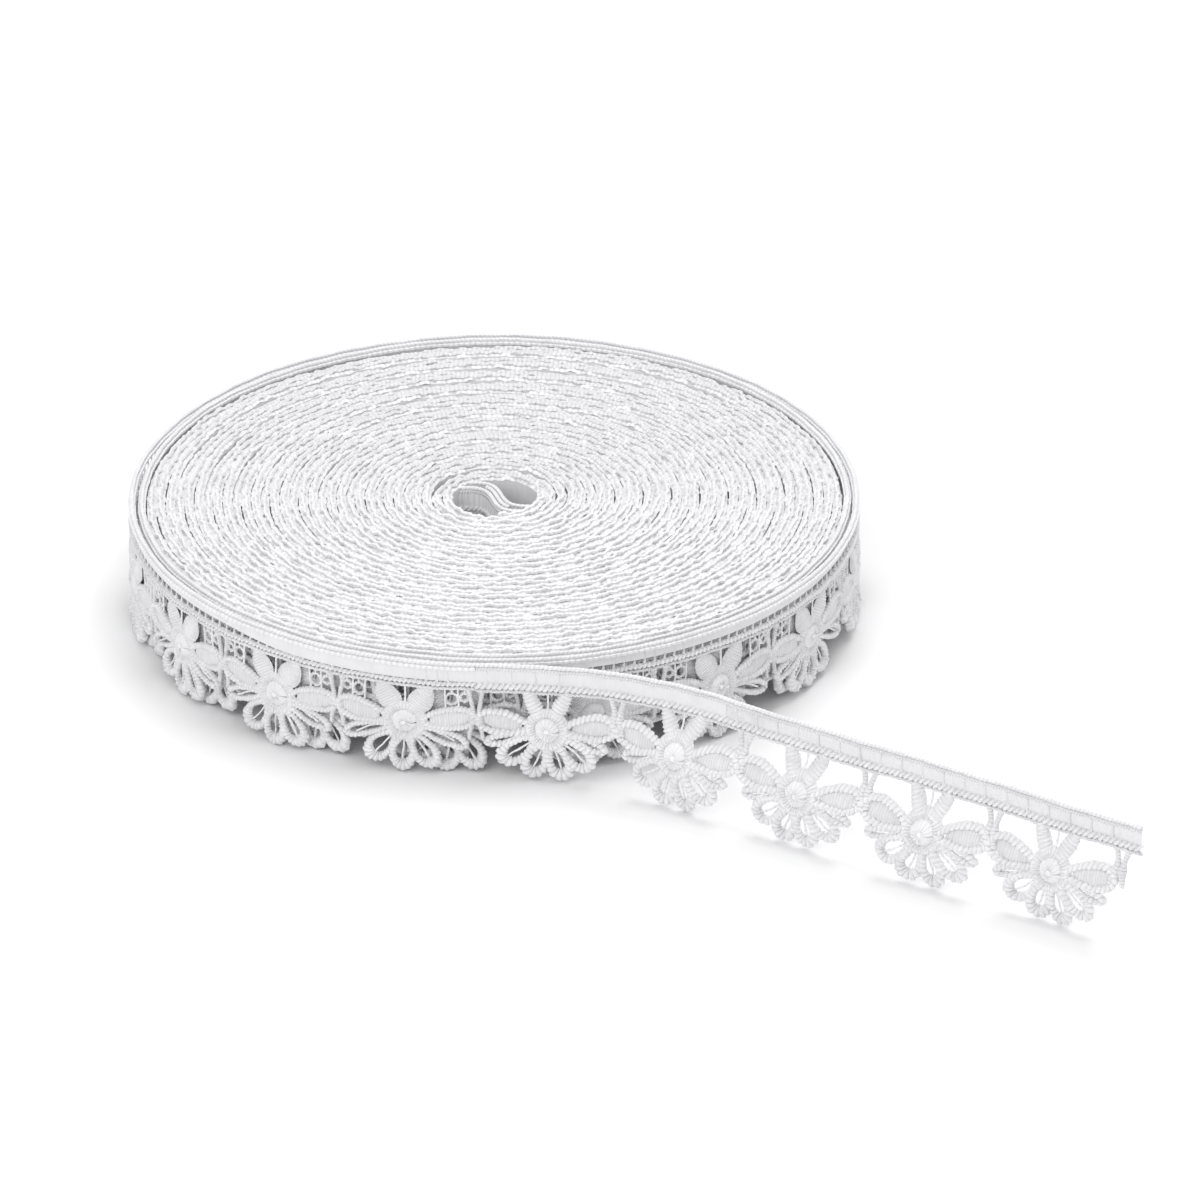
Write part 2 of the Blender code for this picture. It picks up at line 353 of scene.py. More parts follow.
def bar(detail):
    """Returns the cords of the bar between two flowers, from the second rail to where their leaves meet."""
    middle = FLOWER_PITCH / 2
    cords = []
    for side in (-1, 1):
        points = []
        swell = []
        for step in range(ROUTE_STEPS + 1):
            share = step / ROUTE_STEPS
            away = side * (BAR_APART + BAR_BOW * math.cos(math.tau * share))
            points.append(Vector((middle + away, BAR_TOP + (detail["bar_foot"] - BAR_TOP) * share, 0)))
            # Thicker where it joins the rail, and at the knot in its lower half.
            at_rail = 0.9 * max(0.0, 1 - share / 0.16) ** 1.6
            at_knot = 0.7 * math.exp(-((share - 0.62) / 0.13) ** 2)
            swell.append(0.95 + at_rail + at_knot)
        cords.append(satin_cord("bar", points, detail["bar_high"], BAR_DEEP, swell, long=detail["bar_high"],
                                pinch=detail["pinch"], flat_pinch=0.84, rings=detail["rings"]))
    return cords


def loops(detail):
    """Returns the small loops of fine cord in the openings beside the bar, and the threads that hold them."""
    cords = []
    steps = ROUTE_STEPS // 2
    for side in (-1, 1):
        for values in LOOPS:
            row = dict(zip(LOOP_COLUMNS, values))
            points = []
            for step in range(steps + 1):
                turn = math.tau * step / steps
                points.append(Vector((side * row["along"] + row["radius"] * math.cos(turn),
                                      row["height"] + row["radius"] * math.sin(turn), -0.0002)))
            cords.append(satin_cord("loop", points, LOOP_THICK, LOOP_DEEP, long=LOOP_STITCH,
                                    pinch=detail["pinch"], sides=5, rings=1))
            cords.append(thread("loop thread", [
                Vector((side * row["along"], row["height"] + row["radius"], 0)),
                Vector((side * row["along"] * 1.01, THREAD_TOP, 0))]))
        for values in LOOP_THREADS:
            row = dict(zip(LOOP_THREAD_COLUMNS, values))
            cords.append(thread("loop thread", [
                Vector((side * row["along"], THREAD_TOP, 0)),
                Vector((side * (row["along"] + 0.0002), row["foot"], 0))], FINE_THREAD_THICK))
    return cords


def flower_repeat(name, petals, wings, detail):
    """Returns one repeat of the lace below its rails, lying flat with the flower's heart at X = 0."""
    cords = [button(detail)] + bar(detail) + ring(detail)
    for values in petals:
        cords += open_petal(dict(zip(PETAL_COLUMNS, values)), detail)
    for values in SIDE_LEAVES:
        cords += side_leaf(dict(zip(LEAF_COLUMNS, values)), detail)
    for values in wings:
        cords.append(filled_petal(dict(zip(LEAF_COLUMNS, values)), WING_ROOT, detail["wing_deep"],
                                  detail["wing_stitch"], detail["pinch"], 0.78, detail["wing_blunt"],
                                  detail["wing_edge"]))
    if detail["loops"]:
        cords += loops(detail)
    cords.append(thread("parting thread", [Vector(place) for place in PARTING_THREAD]))
    for side in (-1, 1):
        cords.append(thread("slit thread", [Vector((side * x, y, z)) for x, y, z in SLIT_THREAD],
                            FINE_THREAD_THICK))
    flower = join(name, cords)
    for point in flower.data.vertices:
        point.co.z = PRESSED * math.tanh(point.co.z / PRESSED)
    return flower


LOOSE = {
    "stitch": 0.00104, "fill": 0.00060, "pinch": 0.62, "rings": 2, "ring_half": 0.00115, "petal_cord": 1.2,
    "bar_high": 0.00062, "bar_foot": 0.0124, "leaf_deep": 0.00032, "leaf_sunk": 0.00030, "loops": False,
    "wing_deep": 0.00125, "wing_stitch": 0.00085, "wing_blunt": 0.30, "wing_edge": 0.84,
}
WOUND = {
    "stitch": STITCH, "fill": 0.00055, "pinch": 0.66, "rings": 1, "ring_half": 0.00110, "petal_cord": 1.05,
    "bar_high": 0.00055, "bar_foot": 0.0085, "leaf_deep": 0.00045, "leaf_sunk": 0.0, "loops": True,
    "wing_deep": 0.00100, "wing_stitch": 0.00055, "wing_blunt": 0.55, "wing_edge": 0.95,
}
BEHIND = {
    "stitch": 0.00115, "fill": 0.00080, "pinch": 0.74, "rings": 1, "ring_half": 0.00100, "petal_cord": 1.2,
    "bar_high": 0.00090, "bar_foot": 0.0085, "leaf_deep": 0.00060, "leaf_sunk": 0.0, "loops": True,
    "wing_deep": 0.00100, "wing_stitch": 0.00090, "wing_blunt": 0.55, "wing_edge": 0.95,
}

# ---------------------------------------------------------------------------------------------------------
# The heading: the straight edge cord with a finer row under it, the ladder of short threads, and the double
# second rail. They run the whole length of the lace, so they are made for a whole strip at once.
# ---------------------------------------------------------------------------------------------------------
CREST_HEIGHT = 0.02492
CREST_THICK = 0.00048
SHOULDER_HEIGHT = 0.02422
SHOULDER_HIGH = 0.00050
SHOULDER_DEEP = 0.00090
LADDER_FOOT = 0.0210
RAIL_COLUMNS = ("name", "height", "high", "deep", "stitch", "pinch", "rings", "lean")
LOOSE_RAILS = (
    ("crest", CREST_HEIGHT, CREST_THICK, CREST_THICK, 0.00090, 0.86, 2, 0.15),
    ("shoulder", SHOULDER_HEIGHT, SHOULDER_HIGH, 0.00070, 0.00060, 0.70, 1, 0.25),
    ("rail upper", 0.02050, 0.00080, 0.00105, 0.00112, 0.62, 2, 0.45),
    ("rail lower", 0.01935, 0.00050, 0.00064, 0.00080, 0.66, 1, -0.5),
)
WOUND_RAILS = (
    ("crest", CREST_HEIGHT, CREST_THICK, CREST_THICK, 0.00090, 0.80, 1, 0.25),
    ("shoulder", SHOULDER_HEIGHT, SHOULDER_HIGH, SHOULDER_DEEP, 0.00118, 0.92, 1, 0.0),
    ("rail upper", 0.02062, 0.00058, 0.00088, 0.00096, 0.62, 1, 0.3),
    ("rail lower", 0.01962, 0.00042, 0.00060, 0.00080, 0.70, 1, -0.3),
)
LOOSE_RUNG_PITCH = FLOWER_PITCH / 6
LOOSE_RUNG_THICK = 0.00022
WOUND_RUNG_PITCH = FLOWER_PITCH / 13
WOUND_RUNG_THICK = 0.00017
RUNG_SWELL = (2.2, 1.2, 1.0, 1.0, 1.3, 2.4)
FLOOR_CLEAR = 0.0001
# Wavelength in metres, and share of the strength.
CLOTH_WAVES = ((0.061, 1.0), (0.023, 0.6), (0.0093, 0.5), (0.0031, 0.4), (0.0013, 0.3))
# Wavelength in stitches, and share of the strength.
ROW_WAVES = ((2.3, 0.8), (3.7, 0.8), (7.1, 0.7), (13.3, 0.6))


def straight_cord(name, start, end, rail):
    """Returns one rail: a cord along X at its height of the flat lace."""
    points = [Vector((start, rail["height"], 0)), Vector((end, rail["height"], 0))]
    return satin_cord(name, points, rail["high"], rail["deep"], long=rail["stitch"], pinch=rail["pinch"],
                      lean=rail["lean"], rings=rail["rings"])


def rungs(name, start, count, pitch, thick):
    """Returns the ladder's rungs: short threads, thicker where they join the rails."""
    points = []
    pieces = len(RUNG_SWELL) - 1
    high = SHOULDER_HEIGHT - LADDER_FOOT
    for number in range(pieces + 1):
        share = number / pieces
        points.append(Vector((0.0001 * math.sin(5 * share), LADDER_FOOT + high * share, 0)))
    rung = satin_cord(name, points, thick, thick, RUNG_SWELL, long=high / pieces, pinch=1.0, sides=5, rings=0)
    repeat_along_x(rung, count, pitch, merge=False)
    for point in rung.data.vertices:
        point.co.x += start
    return rung


def heading(name, start, end, rails, rung_pitch, rung_thick):
    """Returns the rails and the ladder of a strip that runs from start to end along X."""
    cords = []
    for values in rails:
        rail = dict(zip(RAIL_COLUMNS, values))
        cords.append(straight_cord("%s %s" % (name, rail["name"]), start, end, rail))
    count = int((end - start) / rung_pitch)
    cords.append(rungs(name + " rungs", start + rung_pitch / 2, count, rung_pitch, rung_thick))
    return join(name, cords)


def flowers_in_a_row(name, petals, wings, detail, flowers):
    """Returns whole flowers of the flat lace, side by side from X = 0 on."""
    motif = flower_repeat(name, petals, wings, detail)
    repeat_along_x(motif, flowers, FLOWER_PITCH, merge=False)
    for point in motif.data.vertices:
        point.co.x += FLOWER_PITCH / 2
    return motif


def hand_of_cloth(piece, seed, sway, lift):
    """Makes a flat strip uneven, as soft cloth is: slow waves across, up and down, and along."""
    chance = np.random.default_rng(seed)
    count = len(piece.data.vertices)
    places = np.empty(count * 3)
    piece.data.vertices.foreach_get("co", places)
    places = places.reshape(-1, 3)
    x, y = places[:, 0].copy(), places[:, 1].copy()
    # The scalloped edge moves more than the heading does.
    low = 1.0 - y / LACE_WIDTH
    for wavelength, strength in CLOTH_WAVES:
        phase = chance.uniform(0, math.tau, 4)
        wave = math.tau / wavelength
        places[:, 2] += sway * strength * (0.3 + 0.7 * low) * np.sin(wave * x + phase[0] + 0.6 * wave * y)
        places[:, 1] += lift * strength * np.sin(wave * x + phase[1] - 0.8 * wave * y) * (0.35 + 0.65 * low)
        places[:, 0] += lift * strength * np.sin(0.8 * wave * x + phase[2] + 0.9 * wave * y) * low
    places[:, 1] = np.clip(places[:, 1], FLOOR_CLEAR, LACE_WIDTH)
    piece.data.vertices.foreach_set("co", places.ravel())
    piece.data.update()


def ruffle(piece, seed, wavelength, strength):
    """Makes the stitches of a row unequal."""
    chance = np.random.default_rng(seed)
    count = len(piece.data.vertices)
    places = np.empty(count * 3)
    piece.data.vertices.foreach_get("co", places)
    places = places.reshape(-1, 3)
    x = places[:, 0].copy()
    for stretch, share in ROW_WAVES:
        phase = chance.uniform(0, math.tau, 2)
        places[:, 1] += strength * share * np.sin(math.tau * x / (stretch * wavelength) + phase[0])
        places[:, 2] += strength * share * np.sin(math.tau * x / (stretch * wavelength * 1.13) + phase[1])
    piece.data.vertices.foreach_set("co", places.ravel())
    piece.data.update()


def stand_up(piece):
    """Stands a flat strip on its scalloped edge, with the face of its flowers to the front."""
    work_on(piece)
    piece.rotation_euler = (math.radians(90), 0, 0)
    bpy.ops.object.transform_apply(location=True, rotation=True, scale=True)


# ---------------------------------------------------------------------------------------------------------
# The thread: bleached cotton with a slight sheen. The satin thread group draws the plies of each stitch
# across the cord, loose fibres, soft unevenness of tone and painted shade in the valleys between stitches,
# for every material of the lace.
# ---------------------------------------------------------------------------------------------------------
SATIN_ROUGHNESS = 0.42
PLY_SLANT = 3.0
PLY_DEPTH = 0.0001
SHADE_AT = 0.30
LIGHT_AT = 0.62
CLOUD_SIZE = 260.0
SHADE_NET_UNEVEN = 0.12
SMOOTH_ANGLE = math.radians(60)


def satin_thread_group():
    """Returns the node group of the thread: its plies, fibres and tone, and the valleys between stitches, as
    dips and as painted shade.
    """
    group = bpy.data.node_groups.new("satin thread", "ShaderNodeTree")
    for socket in ("Plies", "Slant", "Fibre Size"):
        group.interface.new_socket(socket, in_out="INPUT", socket_type="NodeSocketFloat")
    for socket in ("Tone", "Valley Shade", "Height"):
        group.interface.new_socket(socket, in_out="OUTPUT", socket_type="NodeSocketFloat")
    nodes, link = group.nodes, group.links.new
    inputs = nodes.new("NodeGroupInput")
    outputs = nodes.new("NodeGroupOutput")

    def sum_of(operation, first, second=None, third=None):
        """Adds one sum to the group and returns its result."""
        node = nodes.new("ShaderNodeMath")
        node.operation = operation
        for socket, value in zip(node.inputs, (first, second, third)):
            if isinstance(value, (int, float)):
                socket.default_value = value
            elif value is not None:
                link(value, socket)
        return node.outputs[0]

    along = nodes.new("ShaderNodeUVMap")
    split = nodes.new("ShaderNodeSeparateXYZ")
    link(along.outputs["UV"], split.inputs[0])
    # The valleys at both ends of each stitch: they lower the bumps, and painted shade is mixed into the
    # colour there.
    from_middle = sum_of("MULTIPLY_ADD", split.outputs["Y"], 2.0, -1.0)
    valley_shade = sum_of("POWER", sum_of("ABSOLUTE", from_middle), 3.0)
    link(valley_shade, outputs.inputs["Valley Shade"])
    around = sum_of("MULTIPLY", split.outputs["X"], inputs.outputs["Slant"])
    wave = sum_of("SINE", sum_of("MULTIPLY_ADD", split.outputs["Y"], inputs.outputs["Plies"], around))
    place = nodes.new("ShaderNodeTexCoord")
    fibre = nodes.new("ShaderNodeTexNoise")
    fibre.inputs["Detail"].default_value = 3.0
    link(place.outputs["Object"], fibre.inputs["Vector"])
    link(inputs.outputs["Fibre Size"], fibre.inputs["Scale"])
    height = sum_of("MULTIPLY_ADD", wave, 0.35, sum_of("MULTIPLY_ADD", valley_shade, -1.0, fibre.outputs[0]))
    link(height, outputs.inputs["Height"])
    cloud = nodes.new("ShaderNodeTexNoise")
    cloud.inputs["Scale"].default_value = CLOUD_SIZE
    cloud.inputs["Detail"].default_value = 2.0
    link(place.outputs["Object"], cloud.inputs["Vector"])
    uneven = sum_of("MULTIPLY_ADD", fibre.outputs[0], 0.6, 0.7)
    link(sum_of("MULTIPLY", cloud.outputs[0], uneven), outputs.inputs["Tone"])
    return group


satin_thread = satin_thread_group()


def thread_material(name, light, shade, valley_shade, plies, fibre_size, depth):
    """Returns a thread material of two tones, with painted shade between the stitches and its plies as bumps.
    """
    made = bpy.data.materials.new(name)
    made.use_nodes = True
    nodes, link = made.node_tree.nodes, made.node_tree.links.new
    shader = nodes["Principled BSDF"]
    shader.inputs["Roughness"].default_value = SATIN_ROUGHNESS
    shader.inputs["Sheen Weight"].default_value = 0.2
    shader.inputs["Sheen Roughness"].default_value = 0.4
    shader.inputs["Specular IOR Level"].default_value = 0.4
    satin = nodes.new("ShaderNodeGroup")
    satin.node_tree = satin_thread
    satin.inputs["Plies"].default_value = plies
    satin.inputs["Slant"].default_value = PLY_SLANT
    satin.inputs["Fibre Size"].default_value = fibre_size
    ramp = nodes.new("ShaderNodeValToRGB")
    ramp.color_ramp.elements[0].position = SHADE_AT
    ramp.color_ramp.elements[0].color = shade
    ramp.color_ramp.elements[1].position = LIGHT_AT
    ramp.color_ramp.elements[1].color = light
    link(satin.outputs["Tone"], ramp.inputs[0])
    # Painted shade: the valley shade colour is mixed in between the stitches.
    between = nodes.new("ShaderNodeMix")
    between.data_type = "RGBA"
    link(satin.outputs["Valley Shade"], between.inputs["Factor"])
    link(ramp.outputs["Color"], between.inputs["A"])
    between.inputs["B"].default_value = valley_shade
    link(between.outputs["Result"], shader.inputs["Base Color"])
    bump = nodes.new("ShaderNodeBump")
    bump.inputs["Strength"].default_value = depth
    bump.inputs["Distance"].default_value = PLY_DEPTH
    link(satin.outputs["Height"], bump.inputs["Height"])
    link(bump.outputs["Normal"], shader.inputs["Normal"])
    return made


# The valley shade colours are painted shade between the stitches.
lace_thread = thread_material(
    "lace thread", light=(0.94, 0.94, 0.95, 1), shade=(0.865, 0.86, 0.88, 1), valley_shade=(0.75, 0.74, 0.765, 1),
    plies=19.0, fibre_size=4200.0, depth=0.8)
# Painted shade: a darker copy of the thread for the plain bands that stand in for openwork behind and below
# the lace.
shaded_lace_ground = thread_material(
    "shaded lace ground", light=(0.81, 0.805, 0.82, 1), shade=(0.75, 0.745, 0.76, 1), valley_shade=(0.79, 0.785, 0.80, 1),
    plies=0.0, fibre_size=2600.0, depth=0.5)


def sheer(material, openness):
    """Makes a thread material sheer, as a fine net is, closer where its tone is light; it makes the grey
    sheet of painted shade.
    """
    nodes, link = material.node_tree.nodes, material.node_tree.links.new
    satin = next(node for node in nodes if node.type == "GROUP")
    cover = nodes.new("ShaderNodeMapRange")
    cover.inputs["From Min"].default_value = 0.25
    cover.inputs["From Max"].default_value = 0.65
    cover.inputs["To Min"].default_value = 1.0 - openness - SHADE_NET_UNEVEN
    cover.inputs["To Max"].default_value = 1.0 - openness + SHADE_NET_UNEVEN
    link(satin.outputs["Tone"], cover.inputs["Value"])
    link(cover.outputs[0], nodes["Principled BSDF"].inputs["Alpha"])


# Painted shade: a grey sheer sheet behind the loose end's ladder, so that the floor seen through the ladder
# looks shaded.
painted_shade_net = thread_material(
    "painted shade net", light=(0.86, 0.857, 0.88, 1), shade=(0.80, 0.797, 0.82, 1), valley_shade=(0.84, 0.837, 0.86, 1),
    plies=0.0, fibre_size=2600.0, depth=0.3)
sheer(painted_shade_net, openness=0.35)


def dress(piece, material, node):
    """Gives a piece its one material, shades it smooth and puts it in the place of a CAD node."""
    piece.data.materials.clear()
    piece.data.materials.append(material)
    work_on(piece)
    bpy.ops.object.shade_smooth_by_angle(angle=SMOOTH_ANGLE)
    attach(piece, "root")
    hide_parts(node)


# ---------------------------------------------------------------------------------------------------------
# The winding: the lace is wound on its edge from the core outwards. Seen from above it runs in clockwise
# from the front, each turn inside the last. The turns stand a little uneven, in groups of three.
# ---------------------------------------------------------------------------------------------------------
ROLL_RADIUS = 0.0734
OUTER_STEP = 0.0021
TURN_PITCH = 0.00192
HALF_LACE = 0.00095
TURN_POINTS = 120
INNERMOST = 0.0091
STEP_DROP = (1.0, 0.55, 0.06)
OUTER_DROP = 0.0012
DROP_LOST = 0.0005
DROP_LOST_OVER = 20
STEP_STARTS = 0.86
LEAN_MEAN = 0.47
LEAN_FRONT_TO_BACK = 0.48
LEAN_TWIST = 0.05
CRESCENT_RADIUS = 0.0142
CRESCENT_EDGE = 0.0015
CRESCENT_GAP = 0.0009


def turn_radius(turn):
    """Returns the radius of the lace's middle, a number of turns in from where the loose end leaves."""
    outside = ROLL_RADIUS + OUTER_STEP - HALF_LACE
    return outside - OUTER_STEP * min(turn, 1.0) - TURN_PITCH * max(turn - 1.0, 0.0)


def blend(share):
    """Returns the S-shaped ramp from 0 to 1."""
    share = min(1.0, max(0.0, share))
    return share * share * (3 - 2 * share)


def turn_drop(turn):
    """Returns how far below the outermost turn's edge a turn stands: every third turn stands proud."""
    def at(number):
        if number < 2:
            return 0.0
        depth = OUTER_DROP - DROP_LOST * min(1.0, (number - 2) / DROP_LOST_OVER)
        return depth * STEP_DROP[(number - 2) % 3]
    whole = int(turn)
    return at(whole) + (at(whole + 1) - at(whole)) * blend((turn - whole - STEP_STARTS) / (1.0 - STEP_STARTS))


def winding(turns_from, turns_to, seed, sway=0.0, lift=0.0):
    """Returns the route of the lace between two turn counts, from the inner one out."""
    chance = np.random.default_rng(seed)
    phases = chance.uniform(0, math.tau, 5)
    points = []
    steps = int(round((turns_to - turns_from) * TURN_POINTS))
    for step in range(steps + 1):
        turn = turns_to - (turns_to - turns_from) * step / steps
        angle = math.radians(-90) - math.tau * turn
        radius = turn_radius(turn)
        # Waves across the winding, and up and down, that differ from turn to turn. They start past the front.
        wander = math.sin(7 * angle + 2.1 * turn + phases[0])
        wander += 0.7 * math.sin(17 * angle + 4.3 * turn + phases[1])
        bounce = math.sin(5 * angle + 3.7 * turn + phases[2])
        bounce += 0.8 * math.sin(23 * angle + 1.9 * turn + phases[3])
        ease = min(1.0, turn / 1.2)
        radius += sway * wander * ease
        # The steps between turns are deep at the back of the roll and slight at its front.
        lean_back = LEAN_MEAN + LEAN_FRONT_TO_BACK * math.sin(angle)
        lean_back += LEAN_TWIST * math.sin(2 * angle + phases[4])
        height = -turn_drop(turn) * lean_back + lift * bounce * ease
        inner = blend((CRESCENT_RADIUS - radius) / CRESCENT_EDGE)
        radius -= CRESCENT_GAP * inner * (0.5 + 0.5 * math.sin(angle))
        points.append(Vector((radius * math.cos(angle), radius * math.sin(angle), height)))
    return points


def turns_for(length, turns_from):
    """Returns the turn count at which a length of lace, wound in from turns_from, comes to its end."""
    turn = turns_from
    step = 1.0 / TURN_POINTS
    left = length
    while left > 0:
        left -= math.tau * step * turn_radius(turn + step / 2)
        turn += step
    return turn + left / (math.tau * turn_radius(turn))


# ---------------------------------------------------------------------------------------------------------
# The outermost turn, which shows its whole pattern all round the roll, and the turn behind it, which shows
# through its openings. Each is seventeen flowers of lace, the outer one from the bar in front of the leaving
# point inwards. A plain close band lies behind the ladder, where the next heading would show through.
# ---------------------------------------------------------------------------------------------------------
FLOWER_NEXT_TO_FRONT = 0.0106
JOIN_BACK = FLOWER_PITCH / 2 - FLOWER_NEXT_TO_FRONT
OUTER_FLOWERS = 17
SECOND_FLOWERS = 17
OUTER_SEED = 11
SECOND_SEED = 12
WOUND_SWAY = 0.00020
WOUND_LIFT = 0.00018
BAND_PIECE = 0.0020
CLOSE_TOP = 0.0245
CLOSE_FOOT = 0.0215
CLOSE_THICK = 0.0004
# Length back from the front, and height of the close band's foot there.
OUTER_BAND_FOOT = (
    (0.000, 0.0212),
    (0.040, 0.0212),
    (0.062, 0.0224),
    (0.095, 0.0226),
    (0.130, 0.0236),
    (0.300, 0.0236),
    (0.420, 0.0222),
    (0.490, 0.0220),
)
SECOND_BAND_FOOT = (
    (0.480, 0.0228),
    (0.560, 0.0212),
    (1.000, 0.0212),
)


def plain_band(name, length, piece_length, foot, top, thick):
    """Returns a plain band of cloth along X, standing on its edge: a long flat tube."""
    band = stitch(name, piece_length, 1.0, 1.0, sides=4, pinch=1.0, lean=0.0, rings=0)
    for point in band.data.vertices:
        across, up = point.co.y - point.co.z, point.co.y + point.co.z
        point.co.y = across * thick / 2
        point.co.z = (foot + top) / 2 + up * (top - foot) / 2
    repeat_along_x(band, round(length / piece_length), piece_length)
    return band


def band_foot_at(feet, back):
    """Returns the height of the foot of the heading's close band, at a length back from the front."""
    for (near, low), (far, high) in zip(feet, feet[1:]):
        if back <= far:
            return low + (high - low) * blend((back - near) / (far - near))
    return feet[-1][1]


def wind_on(piece, back, length, seed):
    """Bends a standing strip round the roll; back is how far its outer end is from the front."""
    outer_turn = turns_for(back, 0.0)
    inner_turn = turns_for(back + length, 0.0)
    bend_along(piece, route_curve(piece.name + "_route", winding(outer_turn, inner_turn, seed)))
    for point in piece.data.vertices:
        point.co.z = max(point.co.z, FLOOR_CLEAR)


def wound_strip(name, flowers, detail, back, seed):
    """Returns a strip of whole flowers wound on the roll, and its heading."""
    length = flowers * FLOWER_PITCH
    lace = flowers_in_a_row(name + "_lace", HANGING_PETALS, WOUND_WINGS, detail, flowers)
    rails = heading(name + "_heading", 0.0, length, WOUND_RAILS, WOUND_RUNG_PITCH, WOUND_RUNG_THICK)
    for piece in (lace, rails):
        hand_of_cloth(piece, seed, WOUND_SWAY, WOUND_LIFT)
        stand_up(piece)
        wind_on(piece, back, length, seed)
        dress(piece, lace_thread, "wound_roll")
    return lace, rails


def wound_band(name, back, length, feet, seed):
    """Returns the close band of a strip's heading, with its foot at the heights of a table."""
    band = plain_band(name, length, length / round(length / BAND_PIECE), CLOSE_FOOT, CLOSE_TOP, CLOSE_THICK)
    for point in band.data.vertices:
        if point.co.z < (CLOSE_FOOT + CLOSE_TOP) / 2:
            point.co.z = band_foot_at(feet, back + length - point.co.x)
    wind_on(band, back, length, seed)
    close_ends(band)
    # The close band takes the darker thread: painted shade behind the ladder.
    dress(band, shaded_lace_ground, "wound_roll")
    return band


outer_length = OUTER_FLOWERS * FLOWER_PITCH
outer_turn_lace, outer_turn_heading = wound_strip("outer_turn", OUTER_FLOWERS, WOUND, JOIN_BACK,
                                                  OUTER_SEED)
outer_turn_band = wound_band("outer_turn_band", JOIN_BACK, outer_length, OUTER_BAND_FOOT, OUTER_SEED)

second_back = JOIN_BACK + outer_length
second_length = SECOND_FLOWERS * FLOWER_PITCH
second_turn_lace, second_turn_heading = wound_strip("second_turn", SECOND_FLOWERS, BEHIND, second_back,
                                                    SECOND_SEED)
second_turn_band = wound_band("second_turn_band", second_back, second_length, SECOND_BAND_FOOT, SECOND_SEED)

# ---------------------------------------------------------------------------------------------------------
# The inner turns, about eight metres of the same lace. Only their edge cords show, with the ladder in the
# gaps, so the openwork below them is a plain band, as thick as a whole turn.
# ---------------------------------------------------------------------------------------------------------
INNER_FOOT = 0.0060
INNER_TOP = 0.0243
INNER_THICK = 0.0018
INNER_SEED = 21
INNER_SWAY = 0.00010
INNER_LIFT = 0.00014
ROW_SEED = 41
ROW_UNEVEN = 0.00012
CREST_STITCH = 0.00095
SHOULDER_STITCH = 0.00118
INNER_SHOULDER_DEEP = SHOULDER_DEEP + 0.00010
inner_from = turns_for(second_back + second_length - FLOWER_PITCH, 0.0)
inner_to = 1.0 + (turn_radius(1.0) - INNERMOST) / TURN_PITCH
inner_route = winding(inner_from, inner_to, INNER_SEED, sway=INNER_SWAY)
inner_length = route_length(inner_route)


def inner_cord(name, long, height, high, deep, sides, pinch, flat_pinch):
    """Returns one row of the heading of the inner turns; its route runs at the row's own height."""
    route = winding(inner_from, inner_to, INNER_SEED, sway=INNER_SWAY, lift=INNER_LIFT)
    length = route_length(route)
    count = round(length / long)
    cord = stitch(name, length / count, deep, high, sides=sides, pinch=pinch, flat_pinch=flat_pinch, lean=0.0,
                  rings=1)
    repeat_along_x(cord, count, length / count)
    ruffle(cord, ROW_SEED, long, ROW_UNEVEN)
    bend_along(cord, route_curve(name + "_route", [point + Vector((0, 0, height)) for point in route]))
    close_ends(cord)
    dress(cord, lace_thread, "wound_roll")
    return cord


crest_cord = inner_cord("inner_crest", CREST_STITCH, CREST_HEIGHT, CREST_THICK, CREST_THICK, sides=5,
                        pinch=0.80, flat_pinch=0.80)
shoulder_cord = inner_cord("inner_shoulder", SHOULDER_STITCH, SHOULDER_HEIGHT, SHOULDER_HIGH,
                           INNER_SHOULDER_DEEP, sides=6, pinch=0.80, flat_pinch=0.88)
inner_bands = plain_band("inner_bands", inner_length, inner_length / round(inner_length / BAND_PIECE),
                         INNER_FOOT, INNER_TOP, INNER_THICK)
bend_along(inner_bands, route_curve("inner_bands_route", inner_route))
close_ends(inner_bands)
# The inner bands take the darker thread: painted shade in the openwork below the edge cords.
dress(inner_bands, shaded_lace_ground, "wound_roll")

# ---------------------------------------------------------------------------------------------------------
# The core: the lace crosses the middle in an S between the two hollows that the winding prongs left. Two
# layers of it lie side by side, with a shorter one between them.
# ---------------------------------------------------------------------------------------------------------
CORE_REACH = 0.0091
CORE_SWING = 0.0023
CORE_ANGLE = math.radians(-35)
CORE_SUNK = -0.0009
CORE_FOOT = 0.0012
CORE_TOP = 0.0240
CORE_THICK = 0.0007
# Offset from the middle of the core, and share of its width.
CORE_LAYERS = (
    (0.0014, 1.00),
    (-0.0013, 1.00),
    (0.0001, 0.50),
)
CORE_STEPS = 40
CORE_PIECE = 0.0012


def core_route(offset, share):
    """Returns the S-shaped route of one layer across a share of the core."""
    points = []
    for step in range(CORE_STEPS + 1):
        along = (2 * step / CORE_STEPS - 1) * CORE_REACH * share
        across = -CORE_SWING * math.sin(math.pi * along / CORE_REACH) + offset
        points.append(Vector((along * math.cos(CORE_ANGLE) - across * math.sin(CORE_ANGLE),
                              along * math.sin(CORE_ANGLE) + across * math.cos(CORE_ANGLE), CORE_SUNK)))
    return points


core_pieces = []
for number, values in enumerate(CORE_LAYERS):
    layer = "core layer %d" % number
    length = route_length(core_route(*values))
    strip = heading(layer, 0.0, length, LOOSE_RAILS, LOOSE_RUNG_PITCH, LOOSE_RUNG_THICK)
    stand_up(strip)
    bend_along(strip, route_curve(layer + "_route", core_route(*values)))
    band = plain_band(layer + " band", length, CORE_PIECE, CORE_FOOT, CORE_TOP, CORE_THICK)
    bend_along(band, route_curve(layer + "_band_route", core_route(*values)))
    close_ends(band)
    core_pieces += [strip, band]
core_fold = join("core_fold", core_pieces)
for point in core_fold.data.vertices:
    point.co.z = max(point.co.z, FLOOR_CLEAR)
dress(core_fold, lace_thread, "wound_roll")

